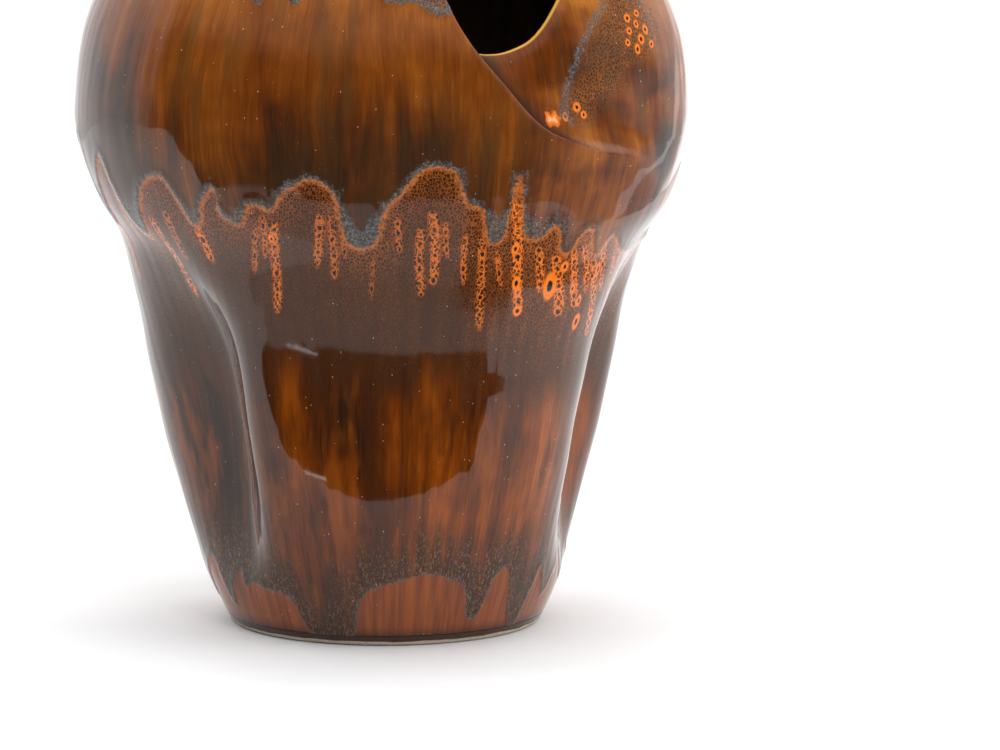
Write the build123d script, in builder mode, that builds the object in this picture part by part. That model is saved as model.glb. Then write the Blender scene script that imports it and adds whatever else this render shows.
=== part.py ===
from build123d import *
import os
from math import cos, degrees, exp, hypot, radians, sin

os.makedirs("parts", exist_ok=True)

# Stoneware vase, hand-built and glazed. All sizes are in millimetres.
# The origin is the centre of the foot on the shelf, +Z runs up the vase and -Y is its front.
# A bearing is an angle in degrees round the vase, 0 at the front, 90 at its right-hand side.

# Foot and floor.
FOOT_RADIUS = 88.5
FOOT_BORE_RADIUS = 70.0
FOOT_HEIGHT = 6.0
FOOT_ROUND = 1.2
SLAB_THICKNESS = 9.0

# Clay wall, and the height at which the two overlapping leaves start on the lower wall.
WALL = 8.0
LEAF_HEIGHT = 285.0

# Body profile: height and radius, before the flutes are pinched in.
BODY = [
    (0, 88.5), (14, 95), (35, 104.5), (80, 120), (130, 132.5), (185, 143), (222, 152), (248, 165),
    (270, 173), (295, 176.5), (330, 174), (365, 163), (410, 138), (462, 84),
]

# Flutes pinched into the lower wall: where each starts, how deep it is as a share of the
# radius, and how far it leans round the vase, at each height.
FLUTE_BEARINGS = [84, 197, 310]
FLUTE_DEPTH = [
    (0, 0), (25, 0.01), (60, 0.115), (100, 0.185), (140, 0.185), (180, 0.13),
    (215, 0.045), (245, 0), (462, 0),
]
FLUTE_LEAN = [
    (0, 0), (120, 0), (200, 2), (250, 15), (270, 26), (285, 36.5), (294, 45), (306, 53),
    (337, 62), (359, 67.3), (383, 71.2), (420, 75), (462, 79),
]
FLUTE_SPREAD_FRONT = 13.5
FLUTE_SPREAD_REAR = 7.5

# The front panel stands a little steeper in the middle, and swells out again towards its foot.
PANEL = [(0, 0), (50, 0), (130, 0.2), (165, -2.2), (190, -1.2), (215, 0), (462, 0)]
PANEL_FOOT = [(0, 0), (50, 0), (84, 2.4), (130, 0), (462, 0)]
PANEL_BEARING = -5.0
PANEL_SPREAD = 32.0
PANEL_FOOT_SPREAD = 19.0

# A low swelling beside the front flute.
SWELL = 6.0
SWELL_BEARING = 44.0
SWELL_SPREAD = 15.0
SWELL_HEIGHT = 212.0
SWELL_RISE = 24.0

# The right leaf turns in behind the free edge of the left leaf.
TUCK = [(285, 0), (295, 6), (306, 12.5), (322, 18), (345, 23), (370, 27), (400, 29), (462, 29)]
TUCK_SPREAD = 18.0
OVERLAP = [(285, -3.9), (295, -5.8), (306, -3.2), (322, 5), (345, 9), (370, 12), (462, 12)]
EDGE_LIFT = [(285, 0), (306, 1.5), (330, 3), (365, 4), (462, 4)]
EDGE_LIFT_SPREAD = 9.0
SEAM_BEARING = 190.0

# Rim, as (across, height) points of level views of the vase. The top waves gently, the corner
# of the left leaf is rounded, and the right leaf dips to a deep notch beside the left leaf.
RIM_FRONT_VIEW = [(-140, 424), (-95, 440), (-45, 449), (10, 453), (60, 447), (140, 420)]
RIM_SIDE_VIEW = [(-140, 432), (-80, 445), (-20, 448), (40, 454), (90, 452), (140, 436)]
LEFT_CORNER = [(-60, 450), (-25, 446), (2, 436), (20, 419), (28, 404)]
NOTCH = [
    (-30, 370), (8, 360), (42, 349.5), (64, 345.5), (82, 351.5), (98.6, 373), (107, 394),
    (110.5, 412), (107, 432), (100, 458),
]
CUT_REACH = 220.0
CUT_TOP = 480.0

# Heights of the sections through the walls.
LOWER_SECTIONS = [
    FOOT_HEIGHT + SLAB_THICKNESS, 38, 68, 100, 135, 170, 200, 226, 250, 270, LEAF_HEIGHT,
]
LEAF_SECTIONS = [LEAF_HEIGHT, 295, 306, 322, 345, 370, 396, 422, 444, 462]
RING_POINTS = 48
LEAF_POINTS = 26
LEAF_CROWDING = 1.35
SLOPE_STEP = 2.0
NOSE_SHARE = 0.45


def smooth(rows, height):
    """Value at a height on the smooth curve through rows of (height, value)."""
    last = len(rows) - 1
    height = min(max(height, rows[0][0]), rows[last][0])
    i = 0
    while i < last - 1 and height > rows[i + 1][0]:
        i += 1
    slopes = []
    for k in (i, i + 1):
        low, high = rows[max(k - 1, 0)], rows[min(k + 1, last)]
        slopes.append((high[1] - low[1]) / (high[0] - low[0]))
    (z0, v0), (z1, v1) = rows[i], rows[i + 1]
    span = z1 - z0
    t = (height - z0) / span
    return (
        (1 + 2 * t) * (1 - t) ** 2 * v0
        + t * (1 - t) ** 2 * span * slopes[0]
        + t * t * (3 - 2 * t) * v1
        + t * t * (t - 1) * span * slopes[1]
    )


def round_gap(bearing, other):
    """Signed difference of two bearings, between -180 and 180 degrees."""
    return (bearing - other + 180) % 360 - 180


def bump(gap, spread):
    return exp(-0.5 * (gap / spread) ** 2)


def body_radius(bearing, height):
    pinch = 0.0
    for start in FLUTE_BEARINGS:
        gap = round_gap(bearing, start - smooth(FLUTE_LEAN, height))
        spread = FLUTE_SPREAD_FRONT if gap < 0 else FLUTE_SPREAD_REAR
        pinch += bump(gap, spread)
    swell = SWELL * bump(round_gap(bearing, SWELL_BEARING), SWELL_SPREAD)
    swell *= bump(height - SWELL_HEIGHT, SWELL_RISE)
    aside = round_gap(bearing, PANEL_BEARING)
    panel = smooth(PANEL, height) * bump(aside, PANEL_SPREAD)
    panel += smooth(PANEL_FOOT, height) * bump(aside, PANEL_FOOT_SPREAD)
    return smooth(BODY, height) * (1 - smooth(FLUTE_DEPTH, height) * pinch) + swell + panel


def level_wall(height):
    """Thickness of the wall measured level, so that it stays WALL across a sloping wall."""
    rise = smooth(BODY, height + SLOPE_STEP) - smooth(BODY, height - SLOPE_STEP)
    slope = rise / (2 * SLOPE_STEP)
    return WALL * hypot(1, slope)


def edge_bearing(height):
    """Bearing of the left leaf's free edge."""
    return FLUTE_BEARINGS[0] - smooth(FLUTE_LEAN, height)


def left_radius(bearing, height):
    gap = round_gap(bearing, edge_bearing(height))
    return body_radius(bearing, height) + smooth(EDGE_LIFT, height) * bump(gap, EDGE_LIFT_SPREAD)


def right_radius(bearing, height):
    gap = max(bearing - edge_bearing(height), 0)
    return body_radius(bearing, height) - smooth(TUCK, height) * bump(gap, TUCK_SPREAD)


def at(bearing, radius):
    """Point on a level plane at a bearing and radius."""
    return (radius * sin(radians(bearing)), -radius * cos(radians(bearing)))


def ring_points(height, inset):
    step = 360 / RING_POINTS
    return [at(i * step, body_radius(i * step, height) - inset) for i in range(RING_POINTS)]


def leaf_points(radius, height, first, last, inset):
    """Points along a leaf between two bearings, closer together near its free edge."""
    points = []
    for i in range(LEAF_POINTS):
        share = i / (LEAF_POINTS - 1)
        bearing = first + (last - first) * share ** LEAF_CROWDING
        points.append(at(bearing, radius(bearing, height) - inset))
    return points


def leaf_outline(radius, height, free_bearing, seam_bearing):
    """Draw the level outline of a leaf: both faces, a rounded free edge and a flat seam."""
    thickness = level_wall(height)
    outer = leaf_points(radius, height, free_bearing, seam_bearing, 0)
    inner = leaf_points(radius, height, free_bearing, seam_bearing, thickness)
    turn = -1 if seam_bearing > free_bearing else 1
    nose_radius = radius(free_bearing, height) - thickness / 2
    nose = at(free_bearing + turn * degrees(NOSE_SHARE * thickness / nose_radius), nose_radius)
    Spline(*outer)
    Line(outer[-1], inner[-1])
    Spline(*inner)
    ThreePointArc(inner[0], nose, outer[0])


def outline_above(points):
    """Draw the outline of everything above a curve, up to the cutting height."""
    Spline(*points)
    across = [points[-1][0], points[0][0]]
    Polyline(points[-1], (across[0], CUT_TOP), (across[1], CUT_TOP), points[0])


# Foot ring: the bare ring of clay that the vase stands on, its side in line with the body.
with BuildPart() as foot_ring:
    with BuildSketch(Plane.XZ):
        with BuildLine():
            Polyline(
                (FOOT_BORE_RADIUS, 0),
                (FOOT_RADIUS, 0),
                (smooth(BODY, FOOT_HEIGHT), FOOT_HEIGHT),
                (FOOT_BORE_RADIUS, FOOT_HEIGHT),
                close=True,
            )
        make_face()
    revolve(axis=Axis.Z)
    fillet(foot_ring.edges().group_by(Axis.Z)[0], radius=FOOT_ROUND)

# Base slab: the floor of the vase, its side flaring with the body.
with BuildPart() as base_slab:
    for height in (FOOT_HEIGHT, FOOT_HEIGHT + SLAB_THICKNESS):
        with BuildSketch(Plane.XY.offset(height)):
            Circle(smooth(BODY, height))
    loft()

# Lower wall: one ring of clay with the three flutes pinched in.
with BuildPart() as lower_wall:
    for height in LOWER_SECTIONS:
        with BuildSketch(Plane.XY.offset(height)):
            with BuildLine():
                Spline(*ring_points(height, 0), periodic=True)
            make_face()
    loft()
    for height in LOWER_SECTIONS:
        with BuildSketch(Plane.XY.offset(height)):
            with BuildLine():
                Spline(*ring_points(height, level_wall(height)), periodic=True)
            make_face()
    loft(mode=Mode.SUBTRACT)

# Everything above the waving rim, cut away from both leaves.
with BuildPart() as above_rim:
    for plane, view in ((Plane.XZ, RIM_FRONT_VIEW), (Plane.YZ, RIM_SIDE_VIEW)):
        with BuildSketch(plane):
            with BuildLine():
                outline_above(view)
            make_face()
        extrude(amount=CUT_REACH, both=True)

# Left leaf: runs from the seam at the back round the left side to its free edge in front.
with BuildPart() as left_leaf:
    for height in LEAF_SECTIONS:
        with BuildSketch(Plane.XY.offset(height)):
            with BuildLine():
                leaf_outline(left_radius, height, edge_bearing(height), SEAM_BEARING - 360)
            make_face()
    loft()
    with BuildSketch(Plane.XZ):
        with BuildLine():
            outline_above(LEFT_CORNER)
        make_face()
    extrude(amount=CUT_REACH, mode=Mode.SUBTRACT)
    add(above_rim.part, mode=Mode.SUBTRACT)

# Right leaf: runs from the seam round the right side and tucks in behind the left leaf.
with BuildPart() as right_leaf:
    for height in LEAF_SECTIONS:
        with BuildSketch(Plane.XY.offset(height)):
            with BuildLine():
                free_bearing = edge_bearing(height) - smooth(OVERLAP, height)
                leaf_outline(right_radius, height, free_bearing, SEAM_BEARING)
            make_face()
    loft()
    with BuildSketch(Plane.XZ):
        with BuildLine():
            outline_above(NOTCH)
        make_face()
    extrude(amount=CUT_REACH, mode=Mode.SUBTRACT)
    add(above_rim.part, mode=Mode.SUBTRACT)

foot_ring.part.label = "foot_ring"
base_slab.part.label = "base_slab"
lower_wall.part.label = "lower_wall"
left_leaf.part.label = "left_leaf"
right_leaf.part.label = "right_leaf"

for piece in (foot_ring, base_slab, lower_wall, left_leaf, right_leaf):
    export_step(piece.part, f"parts/{piece.part.label}.step")
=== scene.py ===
"""Looks of the stoneware vase: glazed skin, bare foot, floor, light and camera."""

import math

import bpy
import numpy as np
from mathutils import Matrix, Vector
from mathutils.kdtree import KDTree


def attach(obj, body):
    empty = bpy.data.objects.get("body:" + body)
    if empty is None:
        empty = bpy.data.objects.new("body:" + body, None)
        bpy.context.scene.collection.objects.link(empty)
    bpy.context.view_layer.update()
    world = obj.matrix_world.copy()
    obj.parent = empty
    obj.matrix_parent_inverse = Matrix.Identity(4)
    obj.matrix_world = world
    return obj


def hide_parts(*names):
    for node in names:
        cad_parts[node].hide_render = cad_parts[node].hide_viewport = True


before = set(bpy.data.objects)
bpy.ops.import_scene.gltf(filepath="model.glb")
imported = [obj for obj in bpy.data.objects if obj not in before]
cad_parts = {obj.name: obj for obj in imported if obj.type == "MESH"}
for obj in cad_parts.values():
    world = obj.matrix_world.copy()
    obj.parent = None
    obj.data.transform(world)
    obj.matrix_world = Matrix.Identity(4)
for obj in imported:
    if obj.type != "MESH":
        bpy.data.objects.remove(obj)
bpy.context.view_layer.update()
MM = 0.001

# ---- Shape ----
# Lengths are in millimetres and bearings in degrees round the vase, 0 at its front (-Y) and 90
# at its right (+X), as in the CAD source.
BODY = [
    (0, 88.5), (14, 95), (35, 104.5), (80, 120), (130, 132.5), (185, 143), (222, 152),
    (248, 165), (270, 173), (295, 176.5), (330, 174), (365, 163), (410, 138), (462, 84),
]
FLUTE_BEARINGS = [84, 197, 310]
FLUTE_DEPTH = [
    (0, 0), (25, 0.01), (60, 0.115), (100, 0.185), (140, 0.185), (180, 0.13),
    (215, 0.045), (245, 0), (462, 0),
]
FLUTE_LEAN = [
    (0, 0), (120, 0), (200, 2), (250, 15), (270, 26), (285, 36.5), (294, 45), (306, 53),
    (337, 62), (359, 67.3), (383, 71.2), (420, 75), (462, 79),
]
FLUTE_SPREAD_FRONT = 13.5
FLUTE_SPREAD_REAR = 7.5

# The front panel stands a little steeper in the middle, and swells out again towards its foot.
PANEL = [(0, 0), (50, 0), (130, 0.2), (165, -2.2), (190, -1.2), (215, 0), (462, 0)]
PANEL_FOOT = [(0, 0), (50, 0), (84, 2.4), (130, 0), (462, 0)]
PANEL_BEARING = -5
PANEL_SPREAD = 32
PANEL_FOOT_SPREAD = 19

# A low swelling beside the front flute.
SWELL = 6
SWELL_BEARING = 44
SWELL_SPREAD = 15
SWELL_HEIGHT = 212
SWELL_RISE = 24

# The leaves: they part at LEAF_HEIGHT, and the right one turns in behind the left one's edge.
LEAF_HEIGHT = 285
SLAB_BOTTOM = 6
SLAB_TOP = 15
TUCK = [
    (262, 0), (274, 0.3), (285, 2.2), (295, 7), (306, 12.5), (322, 18), (345, 23),
    (370, 27), (400, 29), (462, 29),
]
TUCK_SPREAD = 18
TUCK_START = 9
OVERLAP = [(285, 0), (295, 0.5), (306, 2), (322, 5), (345, 9), (370, 12), (462, 12)]
EDGE_LIFT = [(268, 0), (285, 0.6), (306, 2), (330, 3.2), (365, 4), (462, 4)]
EDGE_LIFT_SPREAD = 9
PARTING_HEIGHT = 14
SEAM_TURN = 106

# Rim, as (across, height) points of level views of the vase.
RIM_FRONT_VIEW = [(-140, 424), (-95, 440), (-45, 449), (10, 453), (60, 447), (140, 420)]
RIM_SIDE_VIEW = [(-140, 432), (-80, 445), (-20, 448), (40, 454), (90, 452), (140, 436)]
LEFT_CORNER = [(-60, 450), (-25, 446), (2, 436), (20, 419), (28, 404)]
NOTCH_FLOOR = [(-30, 370), (8, 360), (42, 349.5), (64, 345.5)]
NOTCH_SIDE = [
    (345.5, 64), (351.5, 82), (373, 98.6), (394, 107), (412, 110.5), (432, 107), (458, 100),
]

WALL = 8
RIM_WALL = 6.4
WALL_TAPER = 45
LIP_REACH = 8.5
LIP_STEPS = [0, 0.1, 0.3, 0.6, 1, 1.6, 2.4, 3.4, 4.6, 6, 7.5, 9.2]
COLUMN_STEP = 0.75
LOWER_ROWS = 138
INNER_ROWS = 36
LEAF_ROWS = 84
RIM_LEVELS = 240
RIM_HALVINGS = 14
DEGREE = 2.75  # millimetres round the vase in one degree, at its usual radius


def smooth(rows, x):
    """Values on the smooth curve through rows of (place, value)."""
    places, values = np.array(rows, float).T
    last = len(places) - 1
    low = np.maximum(np.arange(last + 1) - 1, 0)
    high = np.minimum(np.arange(last + 1) + 1, last)
    slopes = (values[high] - values[low]) / (places[high] - places[low])
    x = np.clip(x, places[0], places[-1])
    i = np.clip(np.searchsorted(places, x, "right") - 1, 0, last - 1)
    span = places[i + 1] - places[i]
    t = (x - places[i]) / span
    return (
        (1 + 2 * t) * (1 - t) ** 2 * values[i]
        + t * (1 - t) ** 2 * span * slopes[i]
        + t * t * (3 - 2 * t) * values[i + 1]
        + t * t * (t - 1) * span * slopes[i + 1]
    )


def step(x):
    """Smooth step from 0 at x = 0 to 1 at x = 1."""
    x = np.clip(x, 0, 1)
    return x * x * (3 - 2 * x)


def bump(gap, spread):
    return np.exp(-0.5 * (gap / spread) ** 2)


def round_gap(bearing, other):
    return (bearing - other + 180) % 360 - 180


def hand_marks(bearing, height):
    """Slight unevenness that hands leave in thrown and pushed clay."""
    turn = np.radians(bearing)
    marks = 0.55 * np.sin(3 * turn + height / 47 + 1) * np.sin(height / 61 + 2 * turn)
    marks += 0.3 * np.sin(5 * turn - height / 33 + 2.2)
    marks += 0.16 * np.sin(height / 7.5 + 0.9 * np.sin(2 * turn)) * step((height - 20) / 60)
    return marks * step(height / 30)


def body_radius(bearing, height):
    pinch = 0
    for start in FLUTE_BEARINGS:
        gap = round_gap(bearing, start - smooth(FLUTE_LEAN, height))
        spread = np.where(gap < 0, FLUTE_SPREAD_FRONT, FLUTE_SPREAD_REAR)
        pinch = pinch + bump(gap, spread)
    radius = smooth(BODY, height) * (1 - smooth(FLUTE_DEPTH, height) * pinch)
    swell = SWELL * bump(round_gap(bearing, SWELL_BEARING), SWELL_SPREAD)
    swell = swell * bump(height - SWELL_HEIGHT, SWELL_RISE)
    aside = round_gap(bearing, PANEL_BEARING)
    panel = smooth(PANEL, height) * bump(aside, PANEL_SPREAD)
    panel = panel + smooth(PANEL_FOOT, height) * bump(aside, PANEL_FOOT_SPREAD)
    return radius + swell + panel + hand_marks(bearing, height)


def edge_bearing(height):
    return FLUTE_BEARINGS[0] - smooth(FLUTE_LEAN, height)


def bearing_at(turn, height):
    """Bearing of a column, given its turn from the free edge, which leans with height."""
    hold = np.cos(np.radians(turn / 2)) ** 2
    start = FLUTE_BEARINGS[0]
    return start + turn + (edge_bearing(height) - start) * hold


def ring_radius(turn, height):
    bearing = bearing_at(turn, height)
    gap = round_gap(bearing, edge_bearing(height))
    inward = smooth(TUCK, height) * bump(np.maximum(gap, 0), TUCK_SPREAD) * step(gap / TUCK_START)
    lift = smooth(EDGE_LIFT, height) * bump(gap, EDGE_LIFT_SPREAD)
    return bearing, body_radius(bearing, height) + lift - inward


def left_radius(turn, height):
    bearing = bearing_at(turn, height)
    gap = np.minimum(bearing - 360 - edge_bearing(height), 0)
    lift = smooth(EDGE_LIFT, height) * bump(gap, EDGE_LIFT_SPREAD)
    return bearing, body_radius(bearing, height) + lift


def right_radius(turn, height):
    slide = smooth(OVERLAP, height) * (1 - np.clip(turn, 0, SEAM_TURN) / SEAM_TURN) ** 3
    bearing = bearing_at(turn, height) - slide
    gap = bearing - edge_bearing(height)
    parted = step((height - LEAF_HEIGHT) / PARTING_HEIGHT)
    start = step(gap / TUCK_START) * (1 - parted) + parted
    inward = smooth(TUCK, height) * bump(np.maximum(gap, 0), TUCK_SPREAD) * start
    lift = smooth(EDGE_LIFT, height) * bump(gap, EDGE_LIFT_SPREAD) * (1 - parted)
    return bearing, body_radius(bearing, height) + lift - inward


def place(bearing, radius, height):
    turn = np.radians(bearing)
    return np.stack([radius * np.sin(turn), -radius * np.cos(turn), height + 0 * turn], axis=-1)


def is_under_rim(bearing, radius, height, left):
    """True where a point of a leaf lies under its rim."""
    x, y, z = np.moveaxis(place(bearing, radius, height), -1, 0)
    keep = (z < smooth(RIM_FRONT_VIEW, x)) & (z < smooth(RIM_SIDE_VIEW, y))
    front = y < 0
    if left:
        return keep & ~(front & (x > LEFT_CORNER[0][0]) & (z > smooth(LEFT_CORNER, x)))
    notch = (x < NOTCH_FLOOR[-1][0]) & (z > smooth(NOTCH_FLOOR, x))
    notch |= (x >= NOTCH_FLOOR[-1][0]) & (x < smooth(NOTCH_SIDE, z)) & (z > NOTCH_SIDE[0][0])
    return keep & ~(front & notch)


def rim_heights(radius, turns, left):
    """Height of a leaf's rim over each of its columns, found by halving."""
    levels = np.linspace(LEAF_HEIGHT + 20, BODY[-1][0], RIM_LEVELS)[:, None]
    bearing, distance = radius(turns[None, :] + 0 * levels, levels + 0 * turns[None, :])
    under = is_under_rim(bearing, distance, levels + 0 * distance, left)
    first = np.argmin(under, axis=0)
    high = levels[first, 0]
    low = levels[np.maximum(first - 1, 0), 0]
    for _ in range(RIM_HALVINGS):
        middle = (low + high) / 2
        bearing, distance = radius(turns, middle)
        inside = is_under_rim(bearing, distance, middle, left)
        low = np.where(inside, middle, low)
        high = np.where(inside, high, middle)
    padded = np.pad(low, 3, mode="edge")
    return np.mean([padded[k:k + len(low)] for k in range(7)], axis=0)


# ---- Glaze lines ----
# Where the running glazes stop, as (bearing, height) points on the outside.
FRONT_DRIPS = [
    (-33, 258), (-31, 252), (-29, 251), (-27.4, 259), (-26.2, 263), (-24, 263.5), (-22.4, 261),
    (-21.2, 263), (-19.5, 270.5), (-17, 276), (-14.2, 280.5), (-11.6, 279), (-9.4, 273.5),
    (-8.2, 266), (-7.6, 253), (-7.1, 244.5), (-5.8, 240.5), (-4, 239.5), (-2.2, 241.5),
    (-1.1, 247), (-0.5, 256), (0.6, 264), (2.2, 269), (4.2, 276), (6.4, 284), (8.6, 288),
    (11.4, 287.5), (13.8, 284), (15, 277), (16, 268.5), (17.6, 264), (19.2, 262.5), (20.4, 256),
    (21, 246), (22, 241.5), (23.4, 241), (24.3, 245), (24.7, 256), (25.1, 270), (25.8, 281),
    (26.8, 279), (27.6, 266), (28.4, 252), (29.4, 244.5), (31.4, 241.5), (33.4, 242.5),
    (34.8, 247.5), (36.4, 248), (37.8, 243), (38.6, 234.5), (40, 231), (41.6, 232),
    (42.6, 238.5), (44.4, 243.5), (46.6, 242), (48, 233), (49.2, 227), (50.8, 226.5),
    (51.8, 231), (53.4, 236), (56, 234), (60, 226), (66, 221), (74, 219), (84, 220), (94, 219),
    (102, 226),
]
REAR_DRIPS = 13
FOOT_FRONT = [
    (-52, 30), (-47, 33), (-43, 31), (-38, 30), (-33, 28), (-30, 20), (-27, 6), (-20, 3),
    (-14, 4), (-10, 10), (-8.6, 22), (-7, 30), (-4, 35), (2, 39), (8, 42), (13.7, 44.5),
    (18, 42), (22, 39), (25.4, 36), (27.2, 28), (28.6, 17), (31, 14.5), (33.4, 17),
    (34.6, 26), (36, 36), (38.4, 42), (41, 43), (43, 36), (45, 20), (48, 8), (53, 6),
]
REAR_FOOT_DRIPS = 13
TOP_FRONT = [
    (-40, 392), (-33, 390), (-28.5, 379), (-26, 375), (-24, 381), (-20.5, 381), (-18, 376),
    (-15.5, 383), (-10, 388), (-3, 385), (1, 378.5), (4, 377.5), (6.5, 379), (9, 374),
    (12, 371), (16, 378), (26, 386),
]
REAR_TOP_DRIPS = 14


def glaze_line(front, count, arch, tip, seed):
    """A closed line round the vase: the given front, and made-up arches and drips behind."""
    draw = np.random.default_rng(seed)
    first, last = front[-1][0], front[0][0] + 360
    pitch = (last - first) / count
    points = list(front)
    for i in range(count):
        centre = first + (i + 0.5 + draw.uniform(-0.12, 0.12)) * pitch
        high = arch + draw.uniform(-1, 1) * (arch - tip) * 0.25
        low = tip + draw.uniform(-1, 1) * (arch - tip) * 0.35
        width = pitch * draw.uniform(0.13, 0.2)
        points += [
            (centre - 0.36 * pitch, high), (centre - width, (high + 2 * low) / 3 + 2),
            (centre - 0.35 * width, low), (centre + 0.5 * width, low + 1),
            (centre + 1.15 * width, (high + low) / 2), (centre + 0.4 * pitch, high - 3),
        ]
    points = [(b - 360, h) for b, h in points[-6:]] + points
    points += [(b + 360, h) for b, h in front[:6]]
    bearings = np.arange(front[0][0], front[0][0] + 360, 0.2)
    return bearings, smooth(points, bearings)


def line_distance(line, bearing, height):
    """Distance above a glaze line, in millimetres, less than zero below it."""
    bearings, heights = line
    start = bearings[0]
    wrapped = (bearing - start) % 360 + start
    above = height - np.interp(wrapped, bearings, heights, period=360)
    extra = 60
    b = np.concatenate([bearings[-extra:] - 360, bearings, bearings[:extra] + 360]) * DEGREE
    h = np.concatenate([heights[-extra:], heights, heights[:extra]])
    tree = KDTree(len(b))
    for i in range(len(b)):
        tree.insert((b[i], h[i], 0), i)
    tree.balance()
    flat_b, flat_h = (wrapped * DEGREE).ravel(), (height + 0 * wrapped).ravel()
    away = np.array([tree.find((x, y, 0))[2] for x, y in zip(flat_b, flat_h)])
    return away.reshape(above.shape) * np.where(above < 0, -1, 1)


DRIP_LINE = glaze_line(FRONT_DRIPS, REAR_DRIPS, 276, 242, 4)
FOOT_LINE = glaze_line(FOOT_FRONT, REAR_FOOT_DRIPS, 41, 20, 9)
TOP_LINE = glaze_line(TOP_FRONT, REAR_TOP_DRIPS, 390, 374, 12)

# A pool of dark glaze on the right leaf, bounded by a line of crystals on its left.
POOL = [
    (53, 380), (52.5, 370), (47.5, 358), (43.8, 346), (40.5, 328), (38.2, 312), (41, 303),
    (46, 305), (51, 316), (55, 328), (62, 333), (68, 346), (67, 366), (62, 384),
]


def pool_depth(bearing, height):
    """Distance inside the pool's outline, in millimetres, less than zero outside it."""
    outline = np.array(POOL, float)
    outline[:, 0] *= DEGREE
    x, y = bearing * DEGREE, height + 0 * bearing
    away = np.full(x.shape, 1e9)
    inside = np.zeros(x.shape, bool)
    for (x0, y0), (x1, y1) in zip(outline, np.roll(outline, -1, axis=0)):
        dx, dy = x1 - x0, y1 - y0
        t = np.clip(((x - x0) * dx + (y - y0) * dy) / (dx * dx + dy * dy), 0, 1)
        away = np.minimum(away, np.hypot(x - x0 - t * dx, y - y0 - t * dy))
        crosses = (y0 > y) != (y1 > y)
        inside ^= crosses & (x < x0 + dx * (y - y0) / (dy if dy else 1))
    return np.where(inside, away, -away)


# Columns of large oil spots: (bearing, top, bottom, half width, glow).
FRONT_SPOTS = [
    (-27.5, 256, 216, 1.5, 0.4), (-25.6, 260, 226, 1.6, 0.5), (-22.8, 256, 194, 2.2, 0.7),
    (-13.5, 262, 222, 1.9, 0.5), (-10.4, 262, 216, 1.8, 0.4), (-7.6, 256, 228, 1.4, 0.3),
    (-2, 236, 204, 1.3, 0.15), (3.5, 262, 232, 1.5, 0.4), (7.9, 254, 206, 2, 0.5),
    (10.6, 264, 212, 2.1, 0.6), (13.5, 258, 228, 1.5, 0.4), (17.2, 250, 212, 1.5, 0.5),
    (20.6, 246, 184, 2.1, 0.55), (24.5, 238, 208, 1.5, 0.5), (28.8, 268, 192, 2.5, 0.9),
    (33.5, 238, 204, 2.2, 0.8), (38, 232, 188, 3.2, 0.9), (42.5, 234, 192, 2.3, 1),
    (45.6, 236, 200, 2.2, 0.9), (48.4, 226, 172, 2.7, 1), (51.6, 240, 198, 2.4, 0.9),
    (56, 228, 186, 1.9, 0.7),
]
REAR_SPOT_COLUMNS = 46
SPOT_REACH = 2.2
SPOT_RADIUS = 156


def spot_columns():
    draw = np.random.default_rng(21)
    columns = list(FRONT_SPOTS)
    for i in range(REAR_SPOT_COLUMNS):
        bearing = 62 + (i + draw.uniform(-0.4, 0.4)) * (262 / REAR_SPOT_COLUMNS)
        top = draw.uniform(244, 266)
        bottom = top - draw.uniform(25, 62)
        columns.append((bearing, top, bottom, draw.uniform(1.5, 2.6), draw.uniform(0.3, 1)))
    return columns


def spot_values(bearing, height):
    """Strength of the nearest column of spots, and the place across and along that column."""
    strength = np.zeros(np.broadcast(bearing, height).shape)
    across, along, glow = strength + 2 * SPOT_REACH, strength + 0, strength + 0
    for number, (centre, top, bottom, width, shine) in enumerate(spot_columns()):
        sway = 0.9 * np.sin(height / 11 + 2.3 * number)
        sideways = np.sin(np.radians(centre)) * SPOT_RADIUS / smooth(BODY, height)
        plumb = np.degrees(np.arcsin(np.clip(sideways, -0.97, 0.97)))
        hanging = plumb if abs(centre) < 60 else centre
        offset = (round_gap(bearing, hanging) * DEGREE + sway) / width
        ends = step((top - height) / 8) * step((height - bottom) / 10)
        here = bump(offset, 1) * ends
        nearest = abs(offset) < np.minimum(abs(across), SPOT_REACH)
        across = np.where(nearest, offset, across)
        along = np.where(nearest, 0.37 * number, along)
        glow = np.where(nearest, shine, glow)
        strength = np.maximum(strength, here)
    return {"spots": strength, "across": across, "along": along, "glow": glow}


GLAZE_INSET = 1.9


def glaze_relief(bearing, height, drip, foot, top):
    """Thickness of the glaze over the clay: thicker layers, beads along their edges, ripples."""
    relief = 0.35 * step(drip / 3 + 0.5) + 0.38 * bump(drip - 1.6, 1.7)
    relief += 0.3 * step(foot / 3 + 0.5) + 0.3 * bump(foot - 1.4, 1.5)
    relief += 0.3 * step(top / 3 + 0.5) + 0.3 * bump(top - 1.4, 1.5)
    turn = np.radians(bearing)
    ripple = np.sin(61 * turn + 1.3 * np.sin(height / 23)) * np.sin(height / 31 + 5 * turn)
    ripple += 0.7 * np.sin(97 * turn + 1.1 * np.sin(height / 17 + 3)) * np.sin(height / 43)
    ripple += 0.6 * np.sin(23 * turn + height / 29)
    return relief + 0.05 * ripple * step((height - 12) / 30) - GLAZE_INSET * step((height - 6) / 70)


# ---- Meshes ----
def grid_normals(points, closed):
    """Unit normals of a grid of points, rows going up and columns going round."""
    if closed:
        wide = np.concatenate([points[:, -1:], points, points[:, :1]], axis=1)
        round_way = wide[:, 2:] - wide[:, :-2]
    else:
        round_way = np.gradient(points, axis=1)
    up_way = np.gradient(points, axis=0)
    normal = np.cross(round_way, up_way)
    return normal / np.linalg.norm(normal, axis=-1, keepdims=True)


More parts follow.
